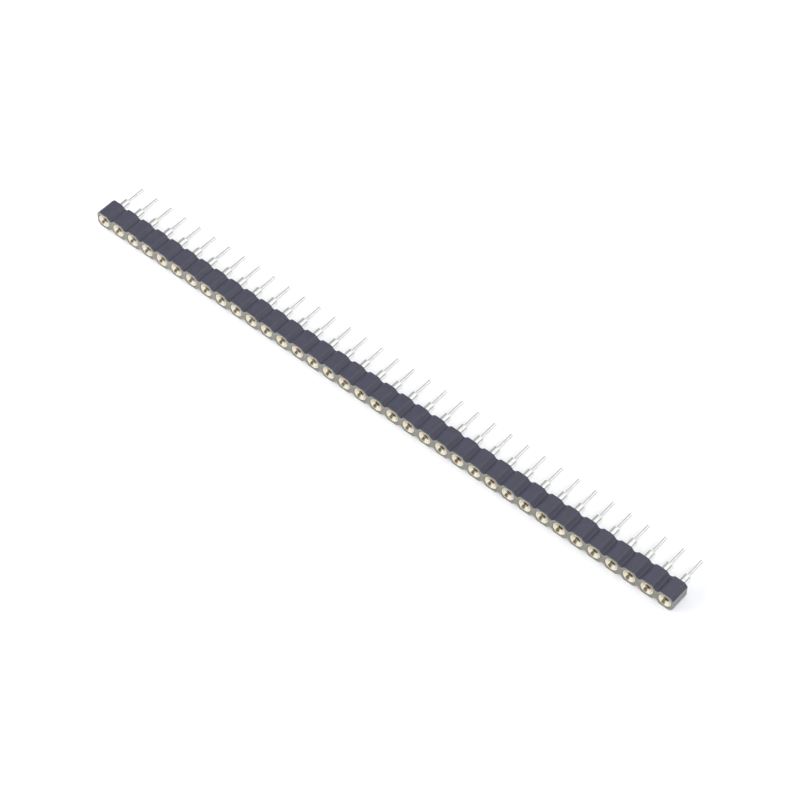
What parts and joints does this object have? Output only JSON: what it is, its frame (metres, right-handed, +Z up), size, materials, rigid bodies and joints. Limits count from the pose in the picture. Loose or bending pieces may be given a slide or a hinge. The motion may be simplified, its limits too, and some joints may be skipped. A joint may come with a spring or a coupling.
{
  "type": "female pin header strip",
  "caption": "Single-row strip of round turned sockets in a black scalloped insulator, with straight solder tails, at 2.54 mm pitch, lying on one long side.",
  "frame": {"origin": "on the surface that the strip lies on, midway along the row and midway between the mouth face and the tails' tips", "axes": "+X along the row, +Y from the mouths to the solder tails, +Z up from the resting side"},
  "size_m": [0.0912, 0.0072, 0.0024],
  "materials": {
    "black_moulding": "fine moulded satin",
    "tinned_sleeve": "bright tin plate on turned brass",
    "gilt_clip": "thin gold plate on spring copper"
  },
  "bodies": {
    "root": {"insulator": "black_moulding", "sleeve_01": "tinned_sleeve", "sleeve_02": "tinned_sleeve", "sleeve_03": "tinned_sleeve", "sleeve_04": "tinned_sleeve", "sleeve_05": "tinned_sleeve", "sleeve_06": "tinned_sleeve", "sleeve_07": "tinned_sleeve", "sleeve_08": "tinned_sleeve", "sleeve_09": "tinned_sleeve", "sleeve_10": "tinned_sleeve", "sleeve_11": "tinned_sleeve", "sleeve_12": "tinned_sleeve", "sleeve_13": "tinned_sleeve", "sleeve_14": "tinned_sleeve", "sleeve_15": "tinned_sleeve", "sleeve_16": "tinned_sleeve", "sleeve_17": "tinned_sleeve", "sleeve_18": "tinned_sleeve", "sleeve_19": "tinned_sleeve", "sleeve_20": "tinned_sleeve", "sleeve_21": "tinned_sleeve", "sleeve_22": "tinned_sleeve", "sleeve_23": "tinned_sleeve", "sleeve_24": "tinned_sleeve", "sleeve_25": "tinned_sleeve", "sleeve_26": "tinned_sleeve", "sleeve_27": "tinned_sleeve", "sleeve_28": "tinned_sleeve", "sleeve_29": "tinned_sleeve", "sleeve_30": "tinned_sleeve", "sleeve_31": "tinned_sleeve", "sleeve_32": "tinned_sleeve", "sleeve_33": "tinned_sleeve", "sleeve_34": "tinned_sleeve", "sleeve_35": "tinned_sleeve", "sleeve_36": "tinned_sleeve", "clips_01_03": "gilt_clip", "clips_04_06": "gilt_clip", "clips_07_09": "gilt_clip", "clips_10_12": "gilt_clip", "clips_13_15": "gilt_clip", "clips_16_18": "gilt_clip", "clips_19_21": "gilt_clip", "clips_22_24": "gilt_clip", "clips_25_27": "gilt_clip", "clips_28_30": "gilt_clip", "clips_31_33": "gilt_clip", "clips_34_36": "gilt_clip"}
  },
  "joints": []
}
